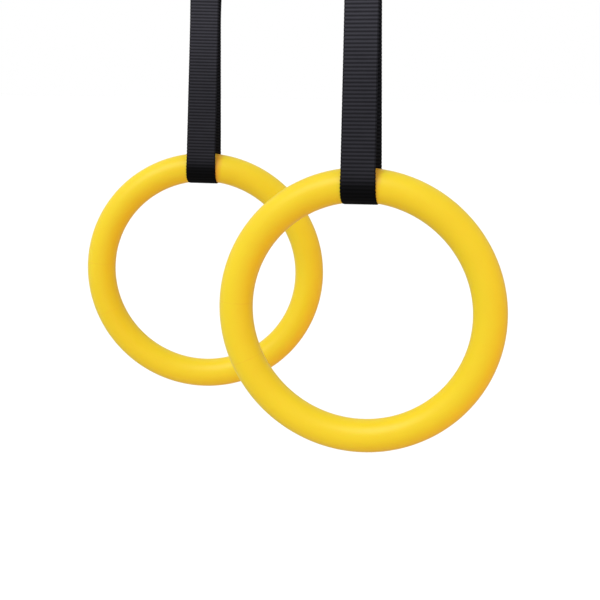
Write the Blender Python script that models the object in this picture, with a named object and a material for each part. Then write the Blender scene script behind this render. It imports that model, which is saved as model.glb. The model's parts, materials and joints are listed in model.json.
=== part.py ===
"""Pair of gymnastics rings, each hanging in a webbing strap from a carabiner.

Each set is a hollow two-shell plastic ring, a loop of webbing closed by a cam
buckle, and a steel carabiner that the loop hangs on. The two sets are alike.
Units are metres, +Z is up and +Y points away from the front of the rings.
"""

import math

import bmesh
import bpy
from mathutils import Matrix, Vector

# ---- driving dimensions ---------------------------------------------------
RING_RADIUS = 0.104            # ring centre to the middle of the tube
TUBE_RADIUS = 0.0135
SHELL_WALL = 0.004
RING_POCKETS = 10              # hollow pockets in each shell, with a rib between
POCKET_STEPS = 5               # segments along one pocket
TONGUE_WIDTH = 0.0012
TONGUE_HEIGHT = 0.0015

GAP = 0.0003                   # between neighbouring pieces
WEB_WIDTH = 0.028
WEB_THICKNESS = 0.0016
WEB_RING_RADIUS = 0.0157       # middle of the webbing round the ring's tube

WIRE_RADIUS = 0.004            # carabiner stock
CARABINER_HALF_WIDTH = 0.026
CARABINER_CORNER = 0.009
CARABINER_INNER_HEIGHT = 0.071
STRAP_DROP = 0.290             # carabiner's lower bar to the ring's tube
TWIST_HEIGHT = 0.060           # where the strap's twist is taken, above the tube
RUN_TOP = 0.034                # loop's front side ends this far below the bar

BUCKLE_HEIGHT = 0.215          # cam pin above the ring's tube
BUCKLE_PLATE = 0.002
BUCKLE_EAR = 0.0018
BUCKLE_INNER_WIDTH = 0.0294
BUCKLE_FOOT = 0.017            # frame's lower end, below the pin
BUCKLE_HEAD = 0.0235           # frame's upper end, above the pin
SLOT_LOW = 0.0115              # slot for the sewn webbing, above the pin
SLOT_HIGH = 0.0185
PIN_RADIUS = 0.0025
PIN_OFFSET = 0.0083            # cam pin to the middle of the clamped webbing
PIN_HEAD_RADIUS = 0.0037
EAR_BEYOND_PIN = 0.0055        # ear's edge past the pin's middle
CAM_LEFT, CAM_RIGHT = -0.0142, 0.0096
CAM_TEETH = 9
CAM_BACK_RADIUS = 0.0058
SEWN_LENGTH = 0.030            # webbing's sewn end, above the buckle's fold
TAIL_LENGTH = 0.050            # free end, above the pin

GATE_PIVOT_HEIGHT = 0.047      # gate's pin above the carabiner's lower bar
GATE_FOOT_HEIGHT = 0.0135
GATE_RADIUS = 0.0037
GATE_PIN_RADIUS = 0.0012
TANG_HALF = 0.00135            # half the thickness of the gate's tang
TANG_RADIUS = 0.0032

# where each set hangs, its turn about the vertical, and its lean to one side
SETS = {
    "right": (Vector((0.0, 0.0, 0.0)), math.radians(-5.5), math.radians(-0.8)),
    "left": (Vector((-0.1524, 0.2164, -0.011)), math.radians(2.5), math.radians(0.8)),
}

# ---- heights and offsets worked out from them, in a set's own frame --------
BAR_Z = -CARABINER_INNER_HEIGHT
TUBE_Z = BAR_Z - STRAP_DROP
RING_Z = TUBE_Z - RING_RADIUS
CUT_Z = TUBE_Z + TWIST_HEIGHT
PIN_Z = TUBE_Z + BUCKLE_HEIGHT
LOOP_RADIUS = WIRE_RADIUS + 0.0004 + WEB_THICKNESS / 2
FIXED_Y = LOOP_RADIUS                                  # webbing sewn to the buckle
FOLD_RADIUS = BUCKLE_PLATE / 2 + GAP + WEB_THICKNESS / 2
CLAMPED_Y = FIXED_Y + 2 * FOLD_RADIUS                  # webbing under the cam
PLATE_Y = CLAMPED_Y - WEB_THICKNESS / 2 - GAP - BUCKLE_PLATE / 2
SEWN_Y = FIXED_Y + WEB_THICKNESS + GAP                 # sewn end, against the loop
FOLD_Z = PIN_Z + SLOT_HIGH
GATE_PIVOT_Z = BAR_Z + GATE_PIVOT_HEIGHT
GATE_TOP_Z = GATE_PIVOT_Z - 0.0065
GATE_BOTTOM_Z = BAR_Z + GATE_FOOT_HEIGHT


# ---- helpers ----------------------------------------------------------------
def clear_scene():
    for obj in list(bpy.data.objects):
        bpy.data.objects.remove(obj, do_unlink=True)


def make_material(name, colour, roughness, metallic=0.0):
    mat = bpy.data.materials.new(name)
    mat.use_nodes = True
    shader = mat.node_tree.nodes["Principled BSDF"]
    shader.inputs["Base Color"].default_value = (*colour, 1.0)
    shader.inputs["Roughness"].default_value = roughness
    shader.inputs["Metallic"].default_value = metallic
    return mat


def make_empty(name, location, turn=0.0, lean=0.0, parent=None):
    empty = bpy.data.objects.new(name, None)
    empty.empty_display_size = 0.02
    empty.location = location
    empty.rotation_euler = (0.0, lean, turn)
    empty.parent = parent
    bpy.context.collection.objects.link(empty)
    return empty


def make_object(name, bm, mat, axis):
    """A mesh built in its set's frame, with its origin moved to the axis empty."""
    bmesh.ops.recalc_face_normals(bm, faces=bm.faces)
    bmesh.ops.translate(bm, vec=-axis.location, verts=bm.verts)
    mesh = bpy.data.meshes.new(name)
    bm.to_mesh(mesh)
    bm.free()
    mesh.materials.append(mat)
    obj = bpy.data.objects.new(name, mesh)
    obj.parent = axis
    bpy.context.collection.objects.link(obj)
    return obj


def make_cutter(name, bm, axis):
    obj = make_object(name, bm, None, axis)
    obj.display_type = "WIRE"
    obj.hide_render = True
    obj.hide_set(True)
    return obj


def cut(obj, operation, tool):
    mod = obj.modifiers.new(tool.name, "BOOLEAN")
    mod.operation = operation
    mod.solver = "EXACT"
    mod.object = tool


def arc(centre, radius, start, end, steps):
    """Points of an arc in a plane, angles in degrees."""
    points = []
    for i in range(steps + 1):
        angle = math.radians(start + (end - start) * i / steps)
        points.append(centre + radius * Vector((math.cos(angle), math.sin(angle))))
    return points


def add_prism(bm, outline, holes, place, depth):
    """Closed solid: a flat outline with holes, put in space and extruded by depth."""
    edges = []
    for loop in [outline] + holes:
        verts = [bm.verts.new(place(p)) for p in loop]
        for a, b in zip(verts, verts[1:] + verts[:1]):
            edges.append(bm.edges.new((a, b)))
    faces = bmesh.ops.triangle_fill(bm, edges=edges, use_beauty=True)["geom"]
    faces = [f for f in faces if isinstance(f, bmesh.types.BMFace)]
    extruded = bmesh.ops.extrude_face_region(bm, geom=faces, use_keep_orig=True)["geom"]
    moved = [v for v in extruded if isinstance(v, bmesh.types.BMVert)]
    bmesh.ops.translate(bm, vec=depth, verts=moved)


def add_rod(bm, start, end, radius, sides=20):
    axis = end - start
    turn = Vector((0, 0, 1)).rotation_difference(axis).to_matrix().to_4x4()
    place = Matrix.Translation((start + end) / 2) @ turn
    bmesh.ops.create_cone(bm, cap_ends=True, segments=sides, radius1=radius,
                          radius2=radius, depth=axis.length, matrix=place)


def add_box(bm, low, high):
    size = Vector(high) - Vector(low)
    centre = (Vector(high) + Vector(low)) / 2
    bmesh.ops.create_cube(bm, size=1.0,
                          matrix=Matrix.Translation(centre) @ Matrix.Diagonal(size).to_4x4())


def add_tube(bm, path, radius, sides, first_normal):
    """Round bar along a path of points, with flat ends."""
    rings = []
    normal = first_normal
    for i, point in enumerate(path):
        before = path[max(i - 1, 0)]
        after = path[min(i + 1, len(path) - 1)]
        along = (after - before).normalized()
        normal = (normal - normal.dot(along) * along).normalized()
        side = along.cross(normal)
        ring = []
        for k in range(sides):
            angle = 2 * math.pi * k / sides
            ring.append(bm.verts.new(point + radius * (math.cos(angle) * normal
                                                       + math.sin(angle) * side)))
        rings.append(ring)
    for a, b in zip(rings, rings[1:]):
        for k in range(sides):
            n = (k + 1) % sides
            bm.faces.new((a[k], a[n], b[n], b[k]))
    bm.faces.new(rings[0])
    bm.faces.new(rings[-1])


def add_webbing(bm, middle, thickness=WEB_THICKNESS, level_start=False, level_end=False):
    """Strip of webbing as wide as the strap, along a middle line of (y, z) points."""
    half = thickness / 2
    left, right = [], []
    for i, point in enumerate(middle):
        before = middle[max(i - 1, 0)]
        after = middle[min(i + 1, len(middle) - 1)]
        along = (after - before).normalized()
        across = Vector((-along.y, along.x))
        ends = (level_start and i == 0) or (level_end and i == len(middle) - 1)
        if ends:
            across = Vector((math.copysign(1.0, across.x), 0.0))
        left.append(point + half * across)
        right.append(point - half * across)
    rows = []
    for a, b in zip(left, right):
        corners = [(-1, a), (1, a), (1, b), (-1, b)]
        rows.append([bm.verts.new((s * WEB_WIDTH / 2, p.x, p.y)) for s, p in corners])
    for a, b in zip(rows, rows[1:]):
        for k in range(4):
            n = (k + 1) % 4
            bm.faces.new((a[k], a[n], b[n], b[k]))
    bm.faces.new(rows[0])
    bm.faces.new(rows[-1])


def line(start, end, steps):
    return [start.lerp(end, i / steps) for i in range(steps + 1)]


# ---- the webbing's middle line ----------------------------------------------
def run_point(side, z):
    """Middle of the front (-1) or rear (1) run of webbing at a height."""
    if side < 0:
        top = Vector((-LOOP_RADIUS, BAR_Z))
    else:
        top = Vector((CLAMPED_Y, PIN_Z - BUCKLE_FOOT))
    bottom = Vector((side * WEB_RING_RADIUS, TUBE_Z))
    share = (z - bottom.y) / (top.y - bottom.y)
    return bottom.lerp(top, share)


# ---- ring -------------------------------------------------------------------
def shell_section(side):
    """Half section of the tube as (outward, y) offsets: outer wall, lips, pocket."""
    face = side * GAP / 2
    inner = TUBE_RADIUS - SHELL_WALL
    outer_arc, pocket_arc = [], []
    outer_steps, pocket_steps = 8, 5
    for i in range(outer_steps + 1):
        angle = math.pi * i / outer_steps
        y = side * max(TUBE_RADIUS * math.sin(angle), GAP / 2)
        outer_arc.append(Vector((TUBE_RADIUS * math.cos(angle), y)))
    for i in range(pocket_steps + 1):
        angle = math.pi * i / pocket_steps
        y = side * max(inner * math.sin(angle), GAP / 2)
        pocket_arc.append(Vector((inner * math.cos(angle), y)))
    # the front shell's lips carry a tongue, and the rear shell's lips its groove
    if side < 0:
        half_width, tip = TONGUE_WIDTH / 2, TONGUE_HEIGHT
    else:
        half_width, tip = TONGUE_WIDTH / 2 + GAP, TONGUE_HEIGHT + GAP
    middle = TUBE_RADIUS - SHELL_WALL / 2
    lip = [Vector((middle + half_width, face)), Vector((middle + half_width, tip)),
           Vector((middle - half_width, tip)), Vector((middle - half_width, face))]
    other_lip = [Vector((-p.x, p.y)) for p in reversed(lip)]
    return outer_arc, lip, pocket_arc, other_lip


def make_ring_shell(name, side, mat, axis):
    outer, lip, pocket, other_lip = shell_section(side)
    around = RING_POCKETS * (POCKET_STEPS + 1)
    bm = bmesh.new()

    def loft_row(points, index):
        angle = 2 * math.pi * index / around + math.pi / around
        row = []
        for p in points:
            reach = RING_RADIUS + p.x
            row.append(bm.verts.new((reach * math.sin(angle), p.y,
                                     RING_Z + reach * math.cos(angle))))
        return row

    outers = [loft_row(outer, i) for i in range(around)]
    lips = [loft_row(lip, i) for i in range(around)]
    pockets = [loft_row(pocket, i) for i in range(around)]
    other_lips = [loft_row(other_lip, i) for i in range(around)]

    for i in range(around):
        n = (i + 1) % around
        wall = [outers[i], outers[n]]
        near = [[outers[k][0]] + lips[k] + [pockets[k][0]] for k in (i, n)]
        far = [[pockets[k][-1]] + other_lips[k] + [outers[k][-1]] for k in (i, n)]
        is_rib = i % (POCKET_STEPS + 1) == POCKET_STEPS
        strips = [wall, near, far]
        if is_rib:
            strips.append([[pockets[k][0], pockets[k][-1]] for k in (i, n)])
            bm.faces.new(pockets[i])
            bm.faces.new(pockets[n])
        else:
            strips.append([pockets[i], pockets[n]])
        for a, b in strips:
            for k in range(len(a) - 1):
                bm.faces.new((a[k], a[k + 1], b[k + 1], b[k]))
    return make_object(name, bm, mat, axis)


# ---- strap ------------------------------------------------------------------
def make_bight(name, mat, axis):
    """The webbing's U under the ring's tube, up to the height of the twist."""
    bm = bmesh.new()
    lowest = TUBE_Z + 0.001
    top = CUT_Z - GAP / 2
    centre = Vector((0.0, TUBE_Z))
    front = line(run_point(-1, top), run_point(-1, lowest), 3)
    bend = arc(centre, WEB_RING_RADIUS, 180, 360, 18)
    rear = line(run_point(1, lowest), run_point(1, top), 3)
    add_webbing(bm, front + bend[1:-1] + rear, level_start=True, level_end=True)
    return make_object(name, bm, mat, axis)


def make_front_run(name, mat, axis):
    bm = bmesh.new()
    middle = line(run_point(-1, CUT_Z + GAP / 2), run_point(-1, BAR_Z - RUN_TOP), 4)
    add_webbing(bm, middle, level_start=True)
    return make_object(name, bm, mat, axis)


def make_rear_run(name, mat, axis):
    """Up from the twist and through the buckle, under the cam."""
    bm = bmesh.new()
    middle = line(run_point(1, CUT_Z + GAP / 2), run_point(1, PIN_Z - BUCKLE_FOOT), 4)
    middle += line(Vector((CLAMPED_Y, PIN_Z - 0.012)), Vector((CLAMPED_Y, PIN_Z + 0.006)), 2)
    add_webbing(bm, middle, level_start=True)
    return make_object(name, bm, mat, axis)


def make_top_loop(name, mat, axis):
    """Over the carabiner's bar, down to the buckle, round its end bar and back up."""
    bm = bmesh.new()
    start = run_point(-1, BAR_Z - RUN_TOP + GAP)
    fold = Vector((FIXED_Y + FOLD_RADIUS, FOLD_Z))
    middle = line(start, run_point(-1, BAR_Z - 0.004), 2)
    middle += arc(Vector((0.0, BAR_Z)), LOOP_RADIUS, 180, 0, 14)
    middle += line(Vector((FIXED_Y, BAR_Z - 0.004)), Vector((FIXED_Y, FOLD_Z + 0.001)), 5)
    middle += arc(fold, FOLD_RADIUS, 180, 360, 8)
    middle += [Vector((CLAMPED_Y, FOLD_Z + 0.005)),
               Vector((CLAMPED_Y - 0.0005, FOLD_Z + 0.007)),
               Vector((SEWN_Y + 0.0005, FOLD_Z + 0.012)),
               Vector((SEWN_Y, FOLD_Z + 0.014))]
    middle += line(Vector((SEWN_Y, FOLD_Z + 0.018)), Vector((SEWN_Y, FOLD_Z + SEWN_LENGTH)), 1)
    add_webbing(bm, middle)
    return make_object(name, bm, mat, axis)


def make_tail(name, mat, axis):
    """The strap's free end above the cam."""
    bm = bmesh.new()
    lift = CLAMPED_Y + WEB_THICKNESS + 3 * GAP
    middle = [Vector((CLAMPED_Y, PIN_Z + 0.006 + GAP)),
              Vector((CLAMPED_Y, PIN_Z + 0.008)),
              Vector((CLAMPED_Y + 0.0006, PIN_Z + 0.0105)),
              Vector((lift - 0.0003, PIN_Z + 0.0145)),
              Vector((lift, PIN_Z + 0.0175))]
    middle += line(Vector((lift, PIN_Z + 0.026)), Vector((lift + 0.004, PIN_Z + TAIL_LENGTH)), 4)
    add_webbing(bm, middle)
    return make_object(name, bm, mat, axis)


# ---- cam buckle ---------------------------------------------------------------
def make_buckle_frame(name, side, mat, axis):
    """Channel with a slotted end bar for the sewn webbing and two ears for the pin."""
    half = BUCKLE_INNER_WIDTH / 2
    back = PLATE_Y - BUCKLE_PLATE / 2
    floor = PLATE_Y + BUCKLE_PLATE / 2
    ear_top = CLAMPED_Y + PIN_OFFSET + EAR_BEYOND_PIN
    outline = [Vector(p) for p in (
        (-half - BUCKLE_EAR, back), (half + BUCKLE_EAR, back), (half + BUCKLE_EAR, ear_top),
        (half, ear_top), (half, floor), (-half, floor), (-half, ear_top),
        (-half - BUCKLE_EAR, ear_top))]
    low, high = PIN_Z - BUCKLE_FOOT, PIN_Z + BUCKLE_HEAD
    bm = bmesh.new()
    add_prism(bm, outline, [], lambda p: Vector((p.x, p.y, low)), Vector((0, 0, high - low)))
    frame = make_object(name, bm, mat, axis)

    reach = half + 0.01
    past = ear_top + 0.002
    above, below = high + 0.01, low - 0.01
    bm = bmesh.new()
    # the ears' sloping ends
    slopes = [
        ((above, floor), (PIN_Z + 0.014, floor), (PIN_Z + 0.006, past), (above, past)),
        ((below, floor + 0.001), (PIN_Z - 0.015, floor + 0.001), (PIN_Z - 0.006, past),
         (below, past)),
    ]
    for slope in slopes:
        add_prism(bm, [Vector(p) for p in slope], [],
                  lambda p: Vector((-reach, p.y, p.x)), Vector((2 * reach, 0, 0)))
    cut(frame, "DIFFERENCE", make_cutter(side + "_cut_ear_ends", bm, axis))

    bm = bmesh.new()
    add_box(bm, (-half + 0.0004, back - 0.001, PIN_Z + SLOT_LOW),
            (half - 0.0004, floor + 0.0005, FOLD_Z))
    cut(frame, "DIFFERENCE", make_cutter(side + "_cut_web_slot", bm, axis))

    bm = bmesh.new()
    y = CLAMPED_Y + PIN_OFFSET
    add_rod(bm, Vector((-reach, y, PIN_Z)), Vector((reach, y, PIN_Z)), PIN_RADIUS + GAP)
    cut(frame, "DIFFERENCE", make_cutter(side + "_cut_pin_hole", bm, axis))
    return frame


def cam_outline():
    """Side outline of cam and thumb lever about the pin, as (y, z) offsets."""
    points = []
    # toothed face, growing from below the clamped point to above it
    for i in range(2 * CAM_TEETH + 1):
        angle = math.radians(232 - 124 * i / (2 * CAM_TEETH))
        grip = PIN_OFFSET - WEB_THICKNESS / 2 - GAP
        swell = grip + 0.0009 * (180 - math.degrees(angle)) / 60
        reach = min(swell, grip + 0.0008) - (0.0006 if i % 2 else 0.0)
        points.append(reach * Vector((math.cos(angle), math.sin(angle))))
    # smooth back of the cam, down to where the lever leaves it
    for angle in (85, 60, 35, 10, -12):
        turn = math.radians(angle)
        points.append(CAM_BACK_RADIUS * Vector((math.cos(turn), math.sin(turn))))
    # thumb lever, pointing down and away from the strap
    lean = math.radians(28)
    down = Vector((math.sin(lean), -math.cos(lean)))
    out = Vector((math.cos(lean), math.sin(lean)))
    points += [0.008 * down + 0.0045 * out, 0.012 * down + 0.0025 * out,
               0.023 * down + 0.0014 * out, 0.027 * down + 0.0030 * out,
               0.0285 * down + 0.0022 * out, 0.0275 * down - 0.0002 * out,
               0.023 * down - 0.0010 * out, 0.010 * down - 0.0008 * out,
               0.0065 * down - 0.0032 * out]
    return points


def make_cam_lever(name, mat, axis):
    bm = bmesh.new()
    centre = Vector((CLAMPED_Y + PIN_OFFSET, PIN_Z))
    bore = arc(Vector((0, 0)), PIN_RADIUS + GAP, 0, 342, 19)
    add_prism(bm, cam_outline(), [bore],
              lambda p: Vector((CAM_LEFT, centre.x + p.x, centre.y + p.y)),
              Vector((CAM_RIGHT - CAM_LEFT, 0, 0)))
    return make_object(name, bm, mat, axis)


def make_cam_pin(name, mat, axis):
    """Rivet pin with a formed head outside each ear."""
    half = BUCKLE_INNER_WIDTH / 2 + BUCKLE_EAR + GAP
    head = half + 0.0012
    one_end = [(head, 0.0), (head, 0.0026), (head - 0.0006, PIN_HEAD_RADIUS),
               (half, PIN_HEAD_RADIUS), (half, PIN_RADIUS)]
    profile = [(-along, radius) for along, radius in one_end] + one_end[::-1]
    return make_turned(name, profile, Vector((0, CLAMPED_Y + PIN_OFFSET, PIN_Z)), "X", mat, axis)


def make_turned(name, profile, centre, direction, mat, axis, sides=20):
    """Solid of revolution from (along, radius) points whose ends lie on the axis."""
    bm = bmesh.new()
    rows = []
    for along, radius in profile:
        row = []
        for k in range(sides if radius > 0 else 1):
            angle = 2 * math.pi * k / sides
            a, b = radius * math.cos(angle), radius * math.sin(angle)
            offset = (along, a, b) if direction == "X" else (a, along, b)
            row.append(bm.verts.new(centre + Vector(offset)))
        rows.append(row)
    for a, b in zip(rows, rows[1:]):
        for k in range(sides):
            n = (k + 1) % sides
            if len(a) == 1:
                bm.faces.new((a[0], b[k], b[n]))
            elif len(b) == 1:
                bm.faces.new((a[k], a[n], b[0]))
            else:
                bm.faces.new((a[k], a[n], b[n], b[k]))
    return make_object(name, bm, mat, axis)


def make_cam_spring(name, mat, axis):
    """Torsion spring round the pin, beside the cam."""
    coil_radius, wire, turns, pitch = 0.0036, 0.00045, 2.75, 0.0012
    centre = Vector((0.0104, CLAMPED_Y + PIN_OFFSET, PIN_Z))
    path = []
    steps = int(turns * 16)
    for i in range(steps + 1):
        angle = 2 * math.pi * i / 16
        path.append(centre + Vector((pitch * i / 16, coil_radius * math.cos(angle),
                                     coil_radius * math.sin(angle))))
    first = path[0] - Vector((0, 0, 0.0045))
    last = path[-1] + Vector((0, 0.0035, 0))
    bm = bmesh.new()
    add_tube(bm, [first] + path + [last], wire, 6, Vector((1, 0, 0)))
    return make_object(name, bm, mat, axis)


# ---- carabiner ----------------------------------------------------------------
def carabiner_path():
    """Bar's middle line, from the gate's fork over the top and round to the nose."""
    w, r = CARABINER_HALF_WIDTH, CARABINER_CORNER
    shoulder = BAR_Z + CARABINER_INNER_HEIGHT + WIRE_RADIUS - w
    points = [Vector((w, GATE_PIVOT_Z - 0.003)), Vector((w, GATE_PIVOT_Z))]
    points += arc(Vector((0, shoulder)), w, 0, 180, 20)
    points += [Vector((-w, BAR_Z + 0.03))]
    points += arc(Vector((-w + r, BAR_Z + r)), r, 180, 270, 6)
    points += arc(Vector((w - r, BAR_Z + r)), r, 270, 360, 6)
    points += [Vector((w, GATE_BOTTOM_Z - 0.0004))]
    return [Vector((p.x, 0.0, p.y)) for p in points]


def make_carabiner_body(name, side, mat, axis):
    bm = bmesh.new()
    add_tube(bm, carabiner_path(), WIRE_RADIUS, 16, Vector((0, 1, 0)))
    body = make_object(name, bm, mat, axis)
    w = CARABINER_HALF_WIDTH
    bm = bmesh.new()
    slot = TANG_HALF + GAP
    add_box(bm, (w - 0.008, -slot, GATE_PIVOT_Z - 0.008), (w + 0.008, slot, GATE_PIVOT_Z + 0.0037))
    cut(body, "DIFFERENCE", make_cutter(side + "_cut_gate_fork", bm, axis))
    bm = bmesh.new()
    add_rod(bm, Vector((w, -0.01, GATE_PIVOT_Z)), Vector((w, 0.01, GATE_PIVOT_Z)),
            GATE_PIN_RADIUS + GAP, 16)
    cut(body, "DIFFERENCE", make_cutter(side + "_cut_gate_pin", bm, axis))
    return body


def make_carabiner_gate(name, side, mat, axis):
    """Straight gate with a flat tang on the pivot pin."""
    w = CARABINER_HALF_WIDTH
    bm = bmesh.new()
    add_rod(bm, Vector((w, 0, GATE_BOTTOM_Z)), Vector((w, 0, GATE_TOP_Z)), GATE_RADIUS, 16)
    gate = make_object(name, bm, mat, axis)
    tang = [Vector((w - TANG_RADIUS, GATE_TOP_Z - 0.004)),
            Vector((w + TANG_RADIUS, GATE_TOP_Z - 0.004))]
    tang += arc(Vector((w, GATE_PIVOT_Z)), TANG_RADIUS, 0, 180, 8)
    bore = arc(Vector((w, GATE_PIVOT_Z)), GATE_PIN_RADIUS + GAP, 0, 337.5, 15)
    bm = bmesh.new()
    add_prism(bm, tang, [bore], lambda p: Vector((p.x, -TANG_HALF, p.y)),
              Vector((0, 2 * TANG_HALF, 0)))
    cut(gate, "UNION", make_cutter(side + "_join_gate_tang", bm, axis))
    return gate


def make_gate_pin(name, mat, axis):
    half = WIRE_RADIUS - 0.0004
    profile = [(-half, 0.0), (-half, GATE_PIN_RADIUS), (half, GATE_PIN_RADIUS), (half, 0.0)]
    centre = Vector((CARABINER_HALF_WIDTH, 0, GATE_PIVOT_Z))
    return make_turned(name, profile, centre, "Y", mat, axis, sides=12)


# ---- one whole set --------------------------------------------------------------
def make_set(side, location, turn, lean, mats):
    hang = make_empty(side + "_hang_point", location, turn, lean)
    swing = make_empty(side + "_swing_axis", (0, 0, BAR_Z), parent=hang)
    twist = make_empty(side + "_twist_axis", (0, 0, CUT_Z), parent=hang)
    tilt = make_empty(side + "_tilt_axis", (0, 0, TUBE_Z), parent=hang)
    cam = make_empty(side + "_cam_axis", (0, CLAMPED_Y + PIN_OFFSET, PIN_Z), parent=hang)
    gate = make_empty(side + "_gate_axis", (CARABINER_HALF_WIDTH, 0, GATE_PIVOT_Z), parent=hang)
    fixed = make_empty(side + "_carabiner_axis", (0, 0, 0), parent=hang)

    make_ring_shell(side + "_ring_front_shell", -1, mats["ring"], tilt)
    make_ring_shell(side + "_ring_rear_shell", 1, mats["ring"], tilt)
    make_bight(side + "_strap_ring_loop", mats["webbing"], twist)
    make_front_run(side + "_strap_front_run", mats["webbing"], swing)
    make_rear_run(side + "_strap_rear_run", mats["webbing"], swing)
    make_top_loop(side + "_strap_top_loop", mats["webbing"], swing)
    make_tail(side + "_strap_tail", mats["webbing"], swing)
    make_buckle_frame(side + "_buckle_frame", side, mats["buckle"], swing)
    make_cam_pin(side + "_buckle_pin", mats["pin"], swing)
    make_cam_spring(side + "_buckle_spring", mats["pin"], swing)
    make_cam_lever(side + "_buckle_cam_lever", mats["buckle"], cam)
    make_carabiner_body(side + "_carabiner_body", side, mats["carabiner"], fixed)
    make_gate_pin(side + "_carabiner_gate_pin", mats["pin"], fixed)
    make_carabiner_gate(side + "_carabiner_gate", side, mats["carabiner"], gate)


def main():
    clear_scene()
    mats = {
        "ring": make_material("ring_plastic", (0.88, 0.57, 0.02), 0.42),
        "webbing": make_material("strap_webbing", (0.025, 0.024, 0.03), 0.85),
        "buckle": make_material("buckle_steel", (0.42, 0.43, 0.44), 0.38, 1.0),
        "pin": make_material("pin_steel", (0.55, 0.55, 0.56), 0.3, 1.0),
        "carabiner": make_material("carabiner_steel", (0.50, 0.51, 0.52), 0.28, 1.0),
    }
    for side, (location, turn, lean) in SETS.items():
        make_set(side, location, turn, lean, mats)


main()
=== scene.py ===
"""Gymnastics rings hanging in ribbed webbing straps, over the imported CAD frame."""
import json
import math

import bmesh
import bpy
from mathutils import Matrix, Vector


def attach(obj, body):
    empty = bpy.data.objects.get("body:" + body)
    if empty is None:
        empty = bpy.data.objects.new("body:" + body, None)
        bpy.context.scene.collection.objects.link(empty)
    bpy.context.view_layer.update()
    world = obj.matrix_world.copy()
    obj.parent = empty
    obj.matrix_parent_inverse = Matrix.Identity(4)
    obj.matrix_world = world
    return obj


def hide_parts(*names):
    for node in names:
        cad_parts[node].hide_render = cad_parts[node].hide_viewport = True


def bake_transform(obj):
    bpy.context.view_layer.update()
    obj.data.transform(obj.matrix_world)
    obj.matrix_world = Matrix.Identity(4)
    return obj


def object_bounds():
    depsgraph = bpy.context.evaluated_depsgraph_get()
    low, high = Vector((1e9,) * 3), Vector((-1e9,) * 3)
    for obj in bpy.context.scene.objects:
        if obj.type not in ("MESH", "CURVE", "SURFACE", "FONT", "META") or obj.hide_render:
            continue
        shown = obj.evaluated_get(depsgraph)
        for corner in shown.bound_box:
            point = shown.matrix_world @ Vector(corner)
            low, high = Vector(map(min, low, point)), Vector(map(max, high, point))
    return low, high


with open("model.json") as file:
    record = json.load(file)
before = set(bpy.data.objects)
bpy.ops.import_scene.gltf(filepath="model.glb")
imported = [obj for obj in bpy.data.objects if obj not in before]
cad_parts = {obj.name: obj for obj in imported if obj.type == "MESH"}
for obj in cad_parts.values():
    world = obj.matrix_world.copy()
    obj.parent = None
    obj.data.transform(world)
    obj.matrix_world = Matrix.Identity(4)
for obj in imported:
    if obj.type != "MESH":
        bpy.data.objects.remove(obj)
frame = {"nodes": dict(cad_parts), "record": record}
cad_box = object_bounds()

# ---- sizes in metres ----------------------------------------------------------
RING_RADIUS = 0.104            # to the middle of the tube
TUBE_RADIUS = 0.0138
RING_STEPS = 288               # mesh rows round the ring
SEAM_DEPTH = 0.00012           # of the hairline between the ring's two shells
WEB_WIDTH = 0.028
WEB_FLARE = 0.0007             # wider where the ring presses it flat
WEB_NARROWING = 0.0008         # narrower under tension, well above the ring
WEB_THICKNESS = 0.0016
RIB_PITCH = 0.00296
RIB_DEPTH = 0.00034
RIB_STEPS = 6                  # mesh rows per rib
SCALLOP = 0.00012              # bays in the selvage between ribs
SCALLOP_AT_RING = 0.00034
RIM = 0.0128                   # from the webbing's middle to its darker selvage
WARP_PITCH = 0.0009            # between the threads that run along the webbing
# painted shade: how light the webbing is along its length, from the lowest point of its bight
# upwards
PAINTED_SHADE_REACH = 0.17
PAINTED_SHADE_STOPS = ((0.0, 0.10), (0.10, 0.05), (0.135, 0.07), (0.15, 0.18),
          (0.175, 0.40), (0.21, 0.54), (0.60, 0.65), (0.95, 1.0))
STITCH_PITCH = 0.0027
THREAD_RADIUS = 0.00036
WEB_RING_RADIUS = TUBE_RADIUS + 0.0002 + WEB_THICKNESS / 2
LOOP_RADIUS = 0.0052           # webbing's middle round the carabiner's bar
CLAMPED_Y = 0.0094             # webbing under the cam, behind the bar's middle
BUCKLE_FOOT = 0.017            # buckle's lower end below its pin
FOLD_ABOVE_PIN = 0.0185        # middle of the webbing's fold round the buckle's end bar
SEWN_GAP = 0.0002              # between the sewn end and the layer it lies on

# the webbing hangs a little to the left of the ring's top: how far, at the ring and
# STRAIGHT_HEIGHT above it, for the front layer and the rear one
STRAIGHT_HEIGHT = 0.139
OFFSETS = {"right": ((-0.0011, 0.0006), (0.0002, -0.0001)),
           "left": ((-0.0032, -0.0014), (-0.0009, -0.0015))}
INNER_SIDE = 0.1               # added to the UV's x on the side facing the ring, which the material paints in shade

CAMERA_DISTANCE = 0.9922
CAMERA_AZIMUTH = math.radians(5.35)
CAMERA_ELEVATION = math.radians(12.0)
CAMERA_ROLL = math.radians(0.6)
CAMERA_LENS = 73.4
RING_IN_VIEW = (0.0493, -0.0104)   # right ring's centre, right of and above the axis

# soft light from the upper left and front, as shares of a white surface's brightness
SUN_WAY = (-0.386, -0.576, 0.721)
SUN_LEVEL = 0.345
SUN_SPREAD = 40
WORLD_LEVEL = 0.74
WORLD_SLOPE = 0.33
FILL_WAY = (0.72, -0.20, -0.66)    # warm light thrown back on the plastic from below
FILL_LEVEL = (0.36, 0.02, 0.0)
FILL_SPREAD = 70

SIDES = ("right", "left")
# marks on a ring's plastic, as shares of the way round it, clockwise from its top
MARKS = (246.2 / 360, 273.6 / 360)     # two faint lines across the tube
MARK_WIDTH = 0.0011
PAINTED_SHADOW_PLACE = 0.0175                     # painted shadow of the webbing: a deeper colour beside its right edge
PAINTED_SHADOW_WIDTH = 0.0085
JOINTS = {j["name"]: j for j in frame["record"]["behaviour"]["joints"]}


# ---- a set's own frame ----------------------------------------------------------
def joint_vector(side, joint, key):
    return Vector(JOINTS[f"{side}_{joint}"][key])


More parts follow.
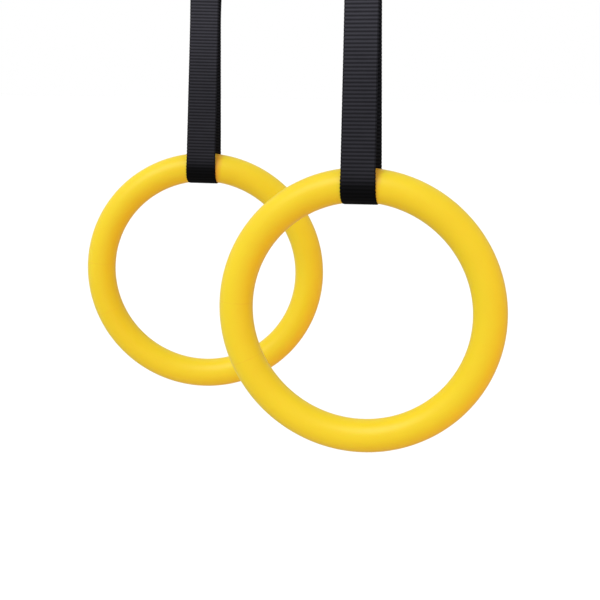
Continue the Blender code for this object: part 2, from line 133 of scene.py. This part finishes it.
def set_frame(side):
    """Set frame in the world: X along the carabiner's bar, Y rearward, Z up the strap."""
    x = joint_vector(side, "strap_swing", "axis").normalized()
    z = joint_vector(side, "strap_twist", "axis").normalized()
    y = z.cross(x)
    turn = Matrix((x, y, z)).transposed().to_4x4()
    return Matrix.Translation(joint_vector(side, "strap_swing", "pos_m")) @ turn


def joint_place(side, joint):
    """A joint's point in its set's frame, whose origin is the carabiner's bar."""
    return set_frame(side).inverted() @ joint_vector(side, joint, "pos_m")


def ring_centre(side):
    return joint_place(side, "ring_tilt") - Vector((0, 0, RING_RADIUS))


# ---- meshes -----------------------------------------------------------------------
def mesh_object(name, bm, mat, place):
    bmesh.ops.recalc_face_normals(bm, faces=bm.faces)
    bm.transform(place)
    mesh = bpy.data.meshes.new(name)
    bm.to_mesh(mesh)
    bm.free()
    for poly in mesh.polygons:
        poly.use_smooth = True
    mesh.materials.append(mat)
    obj = bpy.data.objects.new(name, mesh)
    bpy.context.collection.objects.link(obj)
    return obj


def grid_faces(bm, rows, close_rows, close_columns, uv_of):
    """Quads between rows of vertices, with uv_of(i, k) for the corner i, k."""
    uv = bm.loops.layers.uv.new("UVMap")
    row_count = len(rows)
    width = len(rows[0])
    for i in range(row_count if close_rows else row_count - 1):
        for k in range(width if close_columns else width - 1):
            corners = [(i, k), (i + 1, k), (i + 1, k + 1), (i, k + 1)]
            face = bm.faces.new([rows[a % row_count][b % width] for a, b in corners])
            for loop, corner in zip(face.loops, corners):
                loop[uv].uv = uv_of(*corner)
    return uv


# ---- ring ---------------------------------------------------------------------------
def ring_section_angles():
    """Angles round the tube, closer together at the moulding seam on each side."""
    fine = [-2.4, -1.4, -0.7, 0.0, 0.7, 1.4, 2.4]
    broad = [6 + (174 - 6) * i / 30 for i in range(31)]
    half = fine + broad
    return [math.radians(a) for a in half + [a + 180 for a in half]]


def make_ring(side, mat):
    """One smooth tube with a hairline seam where its two shells meet."""
    centre = ring_centre(side)
    angles = ring_section_angles()
    bm = bmesh.new()
    rows = []
    for i in range(RING_STEPS):
        turn = 2 * math.pi * i / RING_STEPS
        row = []
        for angle in angles:
            off_seam = abs(math.remainder(angle, math.pi)) / math.radians(1.0)
            radius = TUBE_RADIUS - SEAM_DEPTH * math.exp(-off_seam ** 2)
            reach = RING_RADIUS + radius * math.cos(angle)
            point = Vector((reach * math.sin(turn), -radius * math.sin(angle),
                            reach * math.cos(turn)))
            row.append(bm.verts.new(centre + point))
        rows.append(row)
    grid_faces(bm, rows, True, True,
               lambda i, k: (i / RING_STEPS, k / len(angles)))
    ring = mesh_object(side + "_ring", bm, mat, set_frame(side))
    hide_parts(side + "_ring_front_shell", side + "_ring_rear_shell")
    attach(ring, side + "_ring")
    return ring


# ---- webbing ------------------------------------------------------------------------
def arc(centre, radius, start, end, steps):
    points = []
    for i in range(steps + 1):
        angle = math.radians(start + (end - start) * i / steps)
        points.append(centre + radius * Vector((math.cos(angle), math.sin(angle))))
    return points


def line(start, end, steps):
    return [start.lerp(end, i / steps) for i in range(steps + 1)]


def webbing_route(side):
    """Middle line of the strap from its sewn end to its tail, as (y, z) points."""
    tube_z = joint_place(side, "ring_tilt").z
    pin_z = joint_place(side, "cam_release").z
    fold_z = pin_z + FOLD_ABOVE_PIN
    fold_radius = (CLAMPED_Y - LOOP_RADIUS) / 2
    sewn_y = LOOP_RADIUS + WEB_THICKNESS + SEWN_GAP
    route = line(Vector((sewn_y, fold_z + 0.030)), Vector((sewn_y, fold_z + 0.015)), 3)
    route += [Vector((sewn_y + 0.0005, fold_z + 0.011)),
              Vector((CLAMPED_Y - 0.0005, fold_z + 0.006)),
              Vector((CLAMPED_Y, fold_z + 0.003))]
    route += arc(Vector((LOOP_RADIUS + fold_radius, fold_z)), fold_radius, 360, 180, 8)
    route += line(Vector((LOOP_RADIUS, fold_z + 0.004)), Vector((LOOP_RADIUS, -0.003)), 6)
    route += arc(Vector((0.0, 0.0)), LOOP_RADIUS, 0, 180, 10)
    front_top = Vector((-LOOP_RADIUS, -0.003))
    front_foot = Vector((-WEB_RING_RADIUS, tube_z + 0.002))
    route += line(front_top, front_foot, 24)
    route += arc(Vector((0.0, tube_z)), WEB_RING_RADIUS, 180, 360, 16)
    rear_foot = Vector((WEB_RING_RADIUS, tube_z + 0.002))
    buckle_foot = Vector((CLAMPED_Y, pin_z - BUCKLE_FOOT))
    route += line(rear_foot, buckle_foot, 16)
    lift = CLAMPED_Y + WEB_THICKNESS + 0.0009
    route += [Vector((CLAMPED_Y, pin_z - 0.010)),
              Vector((CLAMPED_Y, pin_z + 0.007)),
              Vector((CLAMPED_Y + 0.0006, pin_z + 0.0105)),
              Vector((lift - 0.0003, pin_z + 0.0145)),
              Vector((lift, pin_z + 0.0175)),
              Vector((lift, pin_z + 0.026)),
              Vector((lift + 0.0015, pin_z + 0.038)),
              Vector((lift + 0.004, pin_z + 0.050))]
    return route


def resample(route, step):
    """(steps from the lowest point, point) at even spacing on the curve through a route."""
    route = [p for i, p in enumerate(route) if i == 0 or (p - route[i - 1]).length > 1e-5]
    count = len(route)
    dense = []
    for i in range(count - 1):
        before = route[max(i - 1, 0)]
        a, b = route[i], route[i + 1]
        after = route[min(i + 2, count - 1)]
        span = (b - a).length
        slope_a = (b - before) / max((b - a).length + (a - before).length, 1e-9) * span
        slope_b = (after - a) / max((after - b).length + span, 1e-9) * span
        pieces = max(2, int(span / (step / 2)))
        for k in range(pieces):
            t = k / pieces
            dense.append((2 * t ** 3 - 3 * t ** 2 + 1) * a + (t ** 3 - 2 * t ** 2 + t) * slope_a
                         + (-2 * t ** 3 + 3 * t ** 2) * b + (t ** 3 - t ** 2) * slope_b)
    dense.append(route[-1])
    lengths = [0.0]
    for a, b in zip(dense, dense[1:]):
        lengths.append(lengths[-1] + (b - a).length)
    lowest = lengths[min(range(len(dense)), key=lambda i: dense[i].y)]
    first = -math.floor(lowest / step)
    last = math.floor((lengths[-1] - lowest) / step)
    points, at = [], 0
    for i in range(first, last + 1):
        want = lowest + i * step
        while at < len(dense) - 2 and lengths[at + 1] < want:
            at += 1
        share = (want - lengths[at]) / (lengths[at + 1] - lengths[at])
        points.append((i, dense[at].lerp(dense[at + 1], share)))
    return points


def ease(share):
    share = min(max(share, 0.0), 1.0)
    return share * share * (3 - 2 * share)


def sideways(side, point, steps, tube_z, pin_z):
    """How far the webbing's middle lies to the side of its set's plane."""
    front, rear = OFFSETS[side]
    height = point.y - tube_z
    if height < 0:
        share = (point.x / WEB_RING_RADIUS + 1) / 2
        return front[0] + (rear[0] - front[0]) * ease(share)
    if steps > 0:
        foot, top = rear
        end = pin_z - BUCKLE_FOOT - tube_z
    else:
        foot, top = front
        end = -tube_z
    if steps > 0 or point.x < 0:
        if height < STRAIGHT_HEIGHT:
            return foot + (top - foot) * height / STRAIGHT_HEIGHT
        return top * (1 - ease((height - STRAIGHT_HEIGHT) / (end - STRAIGHT_HEIGHT)))
    return 0.0


def web_section():
    """Closed loop of the webbing's section: (across, share of thickness, share of rib)."""
    face = [(u / 10, 1.0, 1.0) for u in range(-9, 10, 2)]
    face = [(-0.94, 0.84, 1.0)] + face + [(0.94, 0.84, 1.0)]
    edge = [(0.975, 0.60, 0.5), (1.0, 0.22, 0.0), (1.0, -0.22, 0.0), (0.975, -0.60, 0.5)]
    back = [(u, -h, r) for u, h, r in reversed(face)]
    other = [(-u, -h, r) for u, h, r in edge]
    return face + edge + back + other


def make_strap(side, mat):
    """The whole length of webbing, ribbed across, as one strip."""
    step = RIB_PITCH / RIB_STEPS
    tube_z = joint_place(side, "ring_tilt").z
    pin_z = joint_place(side, "cam_release").z
    samples = resample(webbing_route(side), step)
    section = web_section()
    place = set_frame(side)
    bm = bmesh.new()
    rows = []
    for i, (steps, point) in enumerate(samples):
        before = samples[max(i - 1, 0)][1]
        after = samples[min(i + 1, len(samples) - 1)][1]
        along = (after - before).normalized()
        across = Vector((-along.y, along.x))
        aside = sideways(side, point, steps, tube_z, pin_z)
        rib = 0.5 - 0.5 * math.cos(2 * math.pi * steps / RIB_STEPS)
        height = point.y - tube_z
        half_width = (WEB_WIDTH + WEB_FLARE * (1 - ease((height + 0.008) / 0.03))
                      - WEB_NARROWING * ease(height / STRAIGHT_HEIGHT)) / 2
        bay = SCALLOP_AT_RING + (SCALLOP - SCALLOP_AT_RING) * ease((height - 0.006) / 0.02)
        row = []
        for u, thick, ribbing in section:
            half = WEB_THICKNESS / 2 - RIB_DEPTH * ribbing * (1 - rib)
            reach = half_width - bay * (1 - rib) * max(0.0, abs(u) - 0.9) * 10
            p = point + across * half * thick
            row.append(bm.verts.new((aside + u * reach, p.x, p.y)))
        rows.append(row)
    count = len(section)
    begin = samples[0][0]
    uv = grid_faces(bm, rows, False, True,
                    lambda i, k: (section[k % count][0] * WEB_WIDTH / 2
                                  + (INNER_SIDE if section[k % count][1] > 0 else 0.0),
                                  (begin + i) * step))
    for row, at in ((rows[0], begin), (rows[-1], samples[-1][0])):
        face = bm.faces.new(row)
        for loop in face.loops:
            loop[uv].uv = (0.0, at * step)
    strap = mesh_object(side + "_strap_webbing", bm, mat, place)
    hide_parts(*[f"{side}_strap_{n}" for n in
                         ("ring_loop", "front_run", "rear_run", "top_loop", "tail")])
    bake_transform(strap)
    return strap


def make_stitching(side, mat):
    """Box and cross of thread through the strap's sewn end and the layer it lies on."""
    fold_z = joint_place(side, "cam_release").z + FOLD_ABOVE_PIN
    low, high, wide = fold_z + 0.0135, fold_z + 0.0270, 0.0105
    corners = [Vector((-wide, low)), Vector((wide, low)), Vector((wide, high)),
               Vector((-wide, high))]
    seams = [(corners[i], corners[(i + 1) % 4]) for i in range(4)]
    seams += [(corners[0], corners[2]), (corners[1], corners[3])]
    outer = LOOP_RADIUS + 1.5 * WEB_THICKNESS + SEWN_GAP
    inner = LOOP_RADIUS - 0.5 * WEB_THICKNESS
    bm = bmesh.new()
    for start, end in seams:
        count = round((end - start).length / STITCH_PITCH)
        for i in range(count):
            a = start.lerp(end, (i + 0.10) / count)
            b = start.lerp(end, (i + 0.90) / count)
            way = Vector((b.x - a.x, 0, b.y - a.y))
            turn = Vector((0, 0, 1)).rotation_difference(way).to_matrix().to_4x4()
            for y in (inner, outer):
                middle = Vector(((a.x + b.x) / 2, y, (a.y + b.y) / 2))
                shape = Matrix.Diagonal((THREAD_RADIUS, THREAD_RADIUS, way.length / 2, 1))
                bmesh.ops.create_uvsphere(bm, u_segments=8, v_segments=6, radius=1.0,
                                          matrix=Matrix.Translation(middle) @ turn @ shape)
    thread = mesh_object(side + "_strap_stitching", bm, mat, set_frame(side))
    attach(thread, side + "_strap")


# ---- materials ------------------------------------------------------------------------
class Nodes:
    """Short hand for building a material's node tree."""

    def __init__(self, name, colour, roughness, metallic=0.0):
        self.mat = bpy.data.materials.new(name)
        self.mat.use_nodes = True
        self.tree = self.mat.node_tree
        self.shader = self.tree.nodes["Principled BSDF"]
        self.shader.inputs["Base Color"].default_value = (*colour, 1)
        self.shader.inputs["Roughness"].default_value = roughness
        self.shader.inputs["Metallic"].default_value = metallic

    def new(self, kind, **settings):
        node = self.tree.nodes.new(kind)
        for key, value in settings.items():
            setattr(node, key, value)
        return node

    def link(self, source, target):
        self.tree.links.new(source, target)

    def value(self, operation, a, b=None, c=None):
        node = self.new("ShaderNodeMath", operation=operation)
        for slot, item in enumerate((a, b, c)):
            if item is None:
                continue
            if isinstance(item, (int, float)):
                node.inputs[slot].default_value = item
            else:
                self.link(item, node.inputs[slot])
        return node.outputs[0]

    def near(self, value, place, width):
        """1 at a place, falling evenly to 0 at a distance of width on both sides."""
        away = self.value("ABSOLUTE", self.value("SUBTRACT", value, place))
        share = self.value("SUBTRACT", 1.0, self.value("DIVIDE", away, width))
        return self.value("MAXIMUM", share, 0.0)

    def mix(self, blend, factor, a, b):
        """The socket of two colours put together: a is a socket, b a colour or a socket."""
        node = self.new("ShaderNodeMix", data_type="RGBA", blend_type=blend)
        self.link(a, node.inputs["A"])
        for item, name in ((factor, "Factor"), (b, "B")):
            if isinstance(item, (float, tuple)):
                node.inputs[name].default_value = item
            else:
                self.link(item, node.inputs[name])
        return node.outputs["Result"]

    def noise(self, vector, scale, detail=3.0, roughness=0.55):
        node = self.new("ShaderNodeTexNoise")
        node.inputs["Scale"].default_value = scale
        node.inputs["Detail"].default_value = detail
        node.inputs["Roughness"].default_value = roughness
        self.link(vector, node.inputs["Vector"])
        return node.outputs["Fac"]

    def ramp(self, factor, *stops):
        node = self.new("ShaderNodeValToRGB")
        ramp = node.color_ramp
        while len(ramp.elements) < len(stops):
            ramp.elements.new(0.5)
        for element, (at, colour) in zip(ramp.elements, stops):
            element.position = at
            element.color = (*colour, 1)
        self.link(factor, node.inputs["Fac"])
        return node.outputs["Color"]

    def bump(self, height, distance, strength=1.0, before=None):
        node = self.new("ShaderNodeBump")
        node.inputs["Strength"].default_value = strength
        node.inputs["Distance"].default_value = distance
        self.link(height, node.inputs["Height"])
        if before is not None:
            self.link(before, node.inputs["Normal"])
        return node.outputs["Normal"]


def ring_material():
    n = Nodes("ring_plastic_look", (0.90, 0.58, 0.012), 0.42)
    place = n.new("ShaderNodeTexCoord").outputs["Object"]
    cloud = n.noise(place, 14.0, 4.0)
    colour = n.ramp(cloud, (0.30, (0.775, 0.562, 0.002)), (0.70, (0.800, 0.596, 0.005)))
    split = n.new("ShaderNodeSeparateXYZ")
    n.link(n.new("ShaderNodeUVMap", uv_map="UVMap").outputs["UV"], split.inputs[0])
    around = split.outputs[0]
    marks = n.value("ADD", *[n.near(around, mark, MARK_WIDTH) for mark in MARKS])
    patchy = n.value("MULTIPLY", marks, n.value("SUBTRACT", n.noise(place, 120.0, 2.0), 0.15))
    marked = n.mix("MIX", patchy, colour, (0.76, 0.47, 0.008, 1))
    # painted shadow of the webbing on the ring, beside its right edge
    painted_shadow = n.value("MULTIPLY", n.near(around, PAINTED_SHADOW_PLACE, PAINTED_SHADOW_WIDTH), 0.9)
    with_painted_shadow = n.mix("MIX", painted_shadow, marked, (0.74, 0.32, 0.008, 1))
    n.link(with_painted_shadow, n.shader.inputs["Base Color"])
    rough = n.value("MULTIPLY_ADD", n.noise(place, 55.0, 5.0), 0.14, 0.31)
    n.link(rough, n.shader.inputs["Roughness"])
    grain = n.bump(n.noise(place, 900.0, 2.0), 0.00003, 0.5)
    wave = n.bump(n.noise(place, 40.0, 2.0), 0.0003, 0.25, grain)
    n.link(wave, n.shader.inputs["Normal"])
    n.shader.inputs["Specular IOR Level"].default_value = 0.38
    n.shader.inputs["Subsurface Weight"].default_value = 0.3
    n.shader.inputs["Subsurface Radius"].default_value = (0.006, 0.004, 0.001)
    n.shader.inputs["Subsurface Scale"].default_value = 1.0
    return n.mat


def webbing_material():
    """Black ribbed webbing, with painted shade where it wraps round the ring, in the valleys
    between its ribs and on its side facing the ring.
    """
    n = Nodes("strap_webbing_look", (0.03, 0.029, 0.033), 0.75)
    uv = n.new("ShaderNodeUVMap", uv_map="UVMap").outputs["UV"]
    split = n.new("ShaderNodeSeparateXYZ")
    n.link(uv, split.inputs[0])
    along = split.outputs[1]
    inner = n.value("GREATER_THAN", split.outputs[0], INNER_SIDE / 2)
    across = n.value("SUBTRACT", split.outputs[0], n.value("MULTIPLY", inner, INNER_SIDE))
    wave = n.value("COSINE", n.value("MULTIPLY", along, 2 * math.pi / RIB_PITCH))
    rib = n.value("MULTIPLY_ADD", wave, -0.5, 0.5)
    stretched = n.new("ShaderNodeVectorMath", operation="MULTIPLY")
    n.link(uv, stretched.inputs[0])
    stretched.inputs[1].default_value = (0.12, 1.0, 1.0)
    thread = n.noise(stretched.outputs[0], 1500.0, 3.0)
    cloud = n.noise(uv, 60.0, 3.0)
    uneven = n.value("ADD", n.value("MULTIPLY", thread, 0.34), n.value("MULTIPLY", cloud, 0.50))
    # painted shade and highlight: rib crests lighter and valleys darker, mixed with the
    # threads' random tone
    crest = n.value("ADD", rib, n.value("SUBTRACT", uneven, 0.42))
    colour = n.ramp(crest, (0.15, (0.0198, 0.0192, 0.0240)), (0.85, (0.0498, 0.0485, 0.0598)))
    # painted shade along the webbing, darkest where it wraps under the ring and lighter upwards
    reach = n.value("DIVIDE", n.value("ABSOLUTE", along), PAINTED_SHADE_REACH)
    painted_shade = n.ramp(reach, *[(at, (grey, grey, grey)) for at, grey in PAINTED_SHADE_STOPS])
    rim = n.value("GREATER_THAN", n.value("ABSOLUTE", across), RIM)
    outside = n.value("MULTIPLY_ADD", rim, -0.45, 1.0)
    # selvage darker; the side facing the ring painted at half brightness as shade
    selvage_and_painted_shade = n.value("MULTIPLY", outside, n.value("MULTIPLY_ADD", inner, -0.5, 1.0))
    darker = n.new("ShaderNodeVectorMath", operation="SCALE")
    n.link(n.mix("MULTIPLY", 1.0, colour, painted_shade), darker.inputs[0])
    n.link(selvage_and_painted_shade, darker.inputs["Scale"])
    n.link(darker.outputs[0], n.shader.inputs["Base Color"])
    warp = n.value("SINE", n.value("MULTIPLY", across, 2 * math.pi / WARP_PITCH))
    n.link(n.bump(warp, 0.00006, 0.4, n.bump(thread, 0.00012, 0.5)), n.shader.inputs["Normal"])
    n.shader.inputs["Specular IOR Level"].default_value = 0.05
    return n.mat


def thread_material():
    """Waxed thread, twisted, a little lighter than the webbing."""
    n = Nodes("strap_thread_look", (0.05, 0.048, 0.055), 0.6)
    place = n.new("ShaderNodeTexCoord").outputs["Object"]
    twist = n.noise(place, 2600.0, 3.0)
    colour = n.ramp(twist, (0.35, (0.030, 0.029, 0.034)), (0.65, (0.075, 0.072, 0.082)))
    n.link(colour, n.shader.inputs["Base Color"])
    n.link(n.bump(twist, 0.0001, 0.6), n.shader.inputs["Normal"])
    n.shader.inputs["Specular IOR Level"].default_value = 0.25
    return n.mat


def steel_material(name, colour, roughness):
    n = Nodes(name, colour, roughness, 1.0)
    place = n.new("ShaderNodeTexCoord").outputs["Object"]
    rough = n.value("MULTIPLY_ADD", n.noise(place, 160.0, 5.0), 0.2, roughness - 0.1)
    n.link(rough, n.shader.inputs["Roughness"])
    tone = n.ramp(n.noise(place, 45.0, 3.0), (0.3, [0.9 * c for c in colour]), (0.7, colour))
    n.link(tone, n.shader.inputs["Base Color"])
    n.link(n.bump(n.noise(place, 700.0, 3.0), 0.00002, 0.5), n.shader.inputs["Normal"])
    return n.mat


def smooth_by_angle(limit):
    """Geometry nodes that shade an object smooth but for edges sharper than the limit."""
    group = bpy.data.node_groups.new("smooth_by_angle", "GeometryNodeTree")
    group.interface.new_socket("Geometry", in_out="INPUT", socket_type="NodeSocketGeometry")
    group.interface.new_socket("Geometry", in_out="OUTPUT", socket_type="NodeSocketGeometry")
    nodes, links = group.nodes, group.links
    source, result = nodes.new("NodeGroupInput"), nodes.new("NodeGroupOutput")
    angle = nodes.new("GeometryNodeInputMeshEdgeAngle")
    blunt = nodes.new("FunctionNodeCompare")
    blunt.data_type = "FLOAT"
    blunt.operation = "LESS_THAN"
    blunt.inputs[1].default_value = limit
    faces = nodes.new("GeometryNodeSetShadeSmooth")
    edges = nodes.new("GeometryNodeSetShadeSmooth")
    edges.domain = "EDGE"
    links.new(angle.outputs["Unsigned Angle"], blunt.inputs[0])
    links.new(source.outputs[0], faces.inputs["Geometry"])
    links.new(faces.outputs["Geometry"], edges.inputs["Geometry"])
    links.new(blunt.outputs[0], edges.inputs["Shade Smooth"])
    links.new(edges.outputs["Geometry"], result.inputs[0])
    return group


def soften(obj, smooth):
    """Rounds a steel piece's sharp edges, as tumbling does before plating."""
    weld = obj.modifiers.new("joined", "WELD")
    weld.merge_threshold = 0.000002
    bevel = obj.modifiers.new("softened", "BEVEL")
    bevel.width = 0.00025
    bevel.segments = 2
    bevel.limit_method = "ANGLE"
    bevel.angle_limit = math.radians(40)
    obj.modifiers.new("shading", "NODES").node_group = smooth


# ---- camera, light and floor -----------------------------------------------------------
def view_axes():
    """The camera's right, up and forward directions."""
    a, e = CAMERA_AZIMUTH, CAMERA_ELEVATION
    forward = Vector((-math.sin(a) * math.cos(e), math.cos(a) * math.cos(e), -math.sin(e)))
    level = Vector((math.cos(a), math.sin(a), 0))
    steep = level.cross(forward)
    roll = CAMERA_ROLL
    right = math.cos(roll) * level + math.sin(roll) * steep
    return right, right.cross(forward), forward


def make_camera():
    right, up, forward = view_axes()
    data = bpy.data.cameras.new("camera")
    data.lens = CAMERA_LENS
    data.sensor_width = 36
    data.clip_end = 60
    camera = bpy.data.objects.new("camera", data)
    across, above = RING_IN_VIEW
    centre = set_frame("right") @ ring_centre("right")
    place = centre - across * right - above * up - CAMERA_DISTANCE * forward
    turn = Matrix((right, up, -forward)).transposed().to_4x4()
    camera.matrix_world = Matrix.Translation(place) @ turn
    bpy.context.collection.objects.link(camera)
    bpy.context.scene.camera = camera


def make_world(sun):
    """White to the eye; as light, brighter towards the sun and dim on the far side."""
    world = bpy.data.worlds.new("studio")
    bpy.context.scene.world = world
    world.use_nodes = True
    tree = world.node_tree
    background = tree.nodes["Background"]
    white = tree.nodes.new("ShaderNodeBackground")
    output = tree.nodes["World Output"]
    way = tree.nodes.new("ShaderNodeTexCoord")
    dot = tree.nodes.new("ShaderNodeVectorMath")
    dot.operation = "DOT_PRODUCT"
    dot.inputs[1].default_value = sun
    fall = tree.nodes.new("ShaderNodeMath")
    fall.operation = "MULTIPLY_ADD"
    fall.inputs[1].default_value = WORLD_SLOPE
    fall.inputs[2].default_value = WORLD_LEVEL
    seen = tree.nodes.new("ShaderNodeLightPath")
    mix = tree.nodes.new("ShaderNodeMixShader")
    tree.links.new(way.outputs["Generated"], dot.inputs[0])
    tree.links.new(dot.outputs["Value"], fall.inputs[0])
    tree.links.new(fall.outputs[0], background.inputs["Strength"])
    tree.links.new(seen.outputs["Is Camera Ray"], mix.inputs["Fac"])
    tree.links.new(background.outputs[0], mix.inputs[1])
    tree.links.new(white.outputs[0], mix.inputs[2])
    tree.links.new(mix.outputs[0], output.inputs["Surface"])
    background.inputs["Color"].default_value = (1, 1, 1, 1)
    white.inputs["Color"].default_value = (1, 1, 1, 1)
    white.inputs["Strength"].default_value = 1.0


def make_lamp(name, way, colour, spread):
    """A distant lamp, its colour given as shares of a white surface's brightness."""
    level = max(colour)
    data = bpy.data.lights.new(name, "SUN")
    data.color = [c / level for c in colour]
    data.energy = level * math.pi
    data.angle = math.radians(spread)
    light = bpy.data.objects.new(name, data)
    light.rotation_euler = way.to_track_quat("Z", "Y").to_euler()
    bpy.context.collection.objects.link(light)
    return light


def make_studio(rings):
    sun = Vector(SUN_WAY).normalized()
    make_world(sun)
    make_lamp("soft_sun", sun, (SUN_LEVEL,) * 3, SUN_SPREAD)
    fill = make_lamp("warm_fill", Vector(FILL_WAY).normalized(), FILL_LEVEL, FILL_SPREAD)
    lit = bpy.data.collections.new("lit_by_warm_fill")
    for ring in rings:
        lit.objects.link(ring)
    fill.light_linking.receiver_collection = lit

    bm = bmesh.new()
    bmesh.ops.create_grid(bm, x_segments=1, y_segments=1, size=25)
    paint = Nodes("floor_paint", (0.95, 0.95, 0.95), 0.9)
    low = Vector(cad_box[0])
    floor = mesh_object("floor", bm, paint.mat, Matrix.Translation((0, 0, low.z - 0.9)))
    floor.visible_diffuse = False
    floor.visible_glossy = False
    floor.visible_shadow = False
    bpy.context.scene.view_settings.view_transform = "Standard"


# ---- the whole scene -------------------------------------------------------------------
def main():
    make_camera()
    webbing = webbing_material()
    thread = thread_material()
    for side in SIDES:
        make_strap(side, webbing)
        make_stitching(side, thread)
    plastic = ring_material()
    rings = [make_ring(side, plastic) for side in SIDES]
    steel = {
        "buckle_steel": steel_material("buckle_steel_look", (0.5, 0.5, 0.52), 0.4),
        "pin_steel": steel_material("pin_steel_look", (0.6, 0.6, 0.61), 0.3),
        "carabiner_steel": steel_material("carabiner_steel_look", (0.58, 0.59, 0.6), 0.28),
    }
    smooth = smooth_by_angle(math.radians(38))
    for part in frame["record"]["subparts"]:
        if part["material_slot"] in steel:
            mesh = frame["nodes"][part["node"]].data
            mesh.materials.clear()
            mesh.materials.append(steel[part["material_slot"]])
            soften(frame["nodes"][part["node"]], smooth)
    make_studio(rings)


main()
